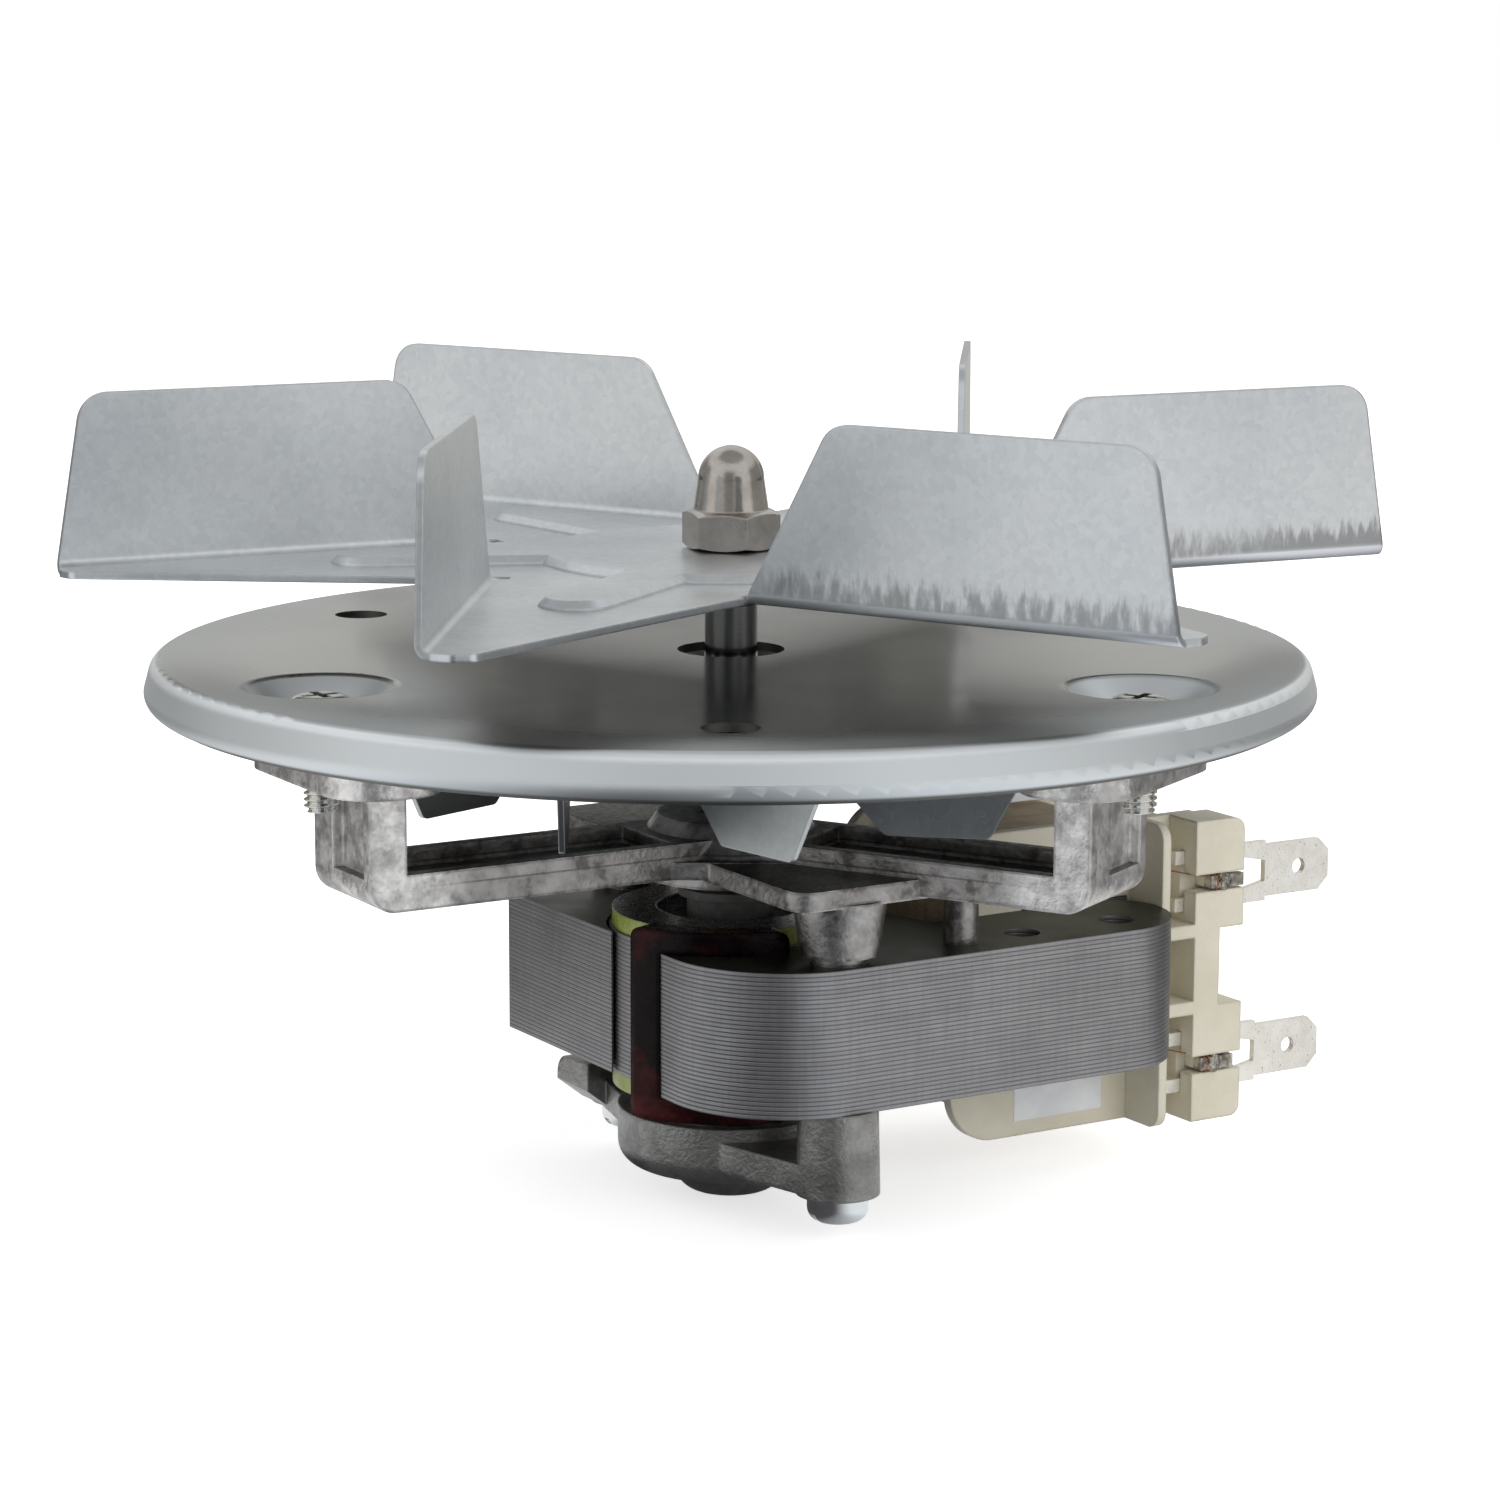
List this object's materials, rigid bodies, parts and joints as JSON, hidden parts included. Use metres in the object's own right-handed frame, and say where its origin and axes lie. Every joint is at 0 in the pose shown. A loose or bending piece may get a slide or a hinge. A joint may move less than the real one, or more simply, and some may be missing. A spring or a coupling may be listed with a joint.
{
  "type": "oven fan motor",
  "caption": "Shaded-pole fan motor hung under a round mounting disc, with a bladed impeller above it on the shaft and spade terminals on the coil.",
  "frame": {"origin": "on the shaft axis, in the plane of the mounting disc's upper face, which is the centre of the fixing holes", "axes": "+Z along the shaft from the disc towards the impeller; -Y towards the fixing hole that faces the picture's camera; +X to the picture's right"},
  "size_m": [0.1498, 0.1398, 0.0928],
  "materials": {
    "galvanised_sheet": "galvanised, satin",
    "cooling_sheet": "galvanised, satin",
    "nickel_plate": "polished nickel",
    "ground_steel": "ground",
    "zinc_screw": "zinc plated",
    "die_cast": "as cast",
    "sintered_bronze": "oiled, porous",
    "oil_felt": "oiled felt",
    "spring_steel": "hardened",
    "laminations": "punched sheets, lacquered top",
    "rotor_varnish": "turned, varnished rim",
    "cage_aluminium": "cast",
    "copper_ring": "oxidised copper",
    "copper_wire": "enamelled copper",
    "coil_tape": "wrapped tape",
    "former_plastic": "moulded, satin",
    "tinned_tab": "tinned brass",
    "washer_plastic": "moulded",
    "label_paper": "plain sticker"
  },
  "bodies": {
    "motor_frame": {"mounting_disc": "galvanised_sheet", "disc_screws": "zinc_screw", "front_bracket": "die_cast", "front_bearing": "sintered_bronze", "front_oil_felt": "oil_felt", "front_bearing_clip": "spring_steel", "rear_bracket": "die_cast", "rear_bearing": "sintered_bronze", "rear_oil_felt": "oil_felt", "rear_bearing_clip": "spring_steel", "stator_stack": "laminations", "coil_core": "laminations", "coil_former": "former_plastic", "coil_winding": "copper_wire", "coil_tape": "coil_tape", "shading_ring_front": "copper_ring", "shading_ring_rear": "copper_ring", "stator_screws": "zinc_screw", "terminal_upper": "tinned_tab", "terminal_lower": "tinned_tab", "rating_label": "label_paper"},
    "rotor": {"impeller": "galvanised_sheet", "acorn_nut": "nickel_plate", "motor_shaft": "ground_steel", "cooling_fan": "cooling_sheet", "cooling_fan_hub": "ground_steel", "rotor_core": "rotor_varnish", "rotor_cage": "cage_aluminium", "thrust_washer_front": "washer_plastic", "thrust_washer_rear": "washer_plastic", "spacer_front": "washer_plastic", "spacer_rear": "washer_plastic"}
  },
  "joints": [
    {"name": "rotor_spin", "type": "hinge", "parent": "motor_frame", "child": "rotor", "pos_m": [0, 0, 0], "axis": [0, 0, 1], "continuous": true}
  ]
}
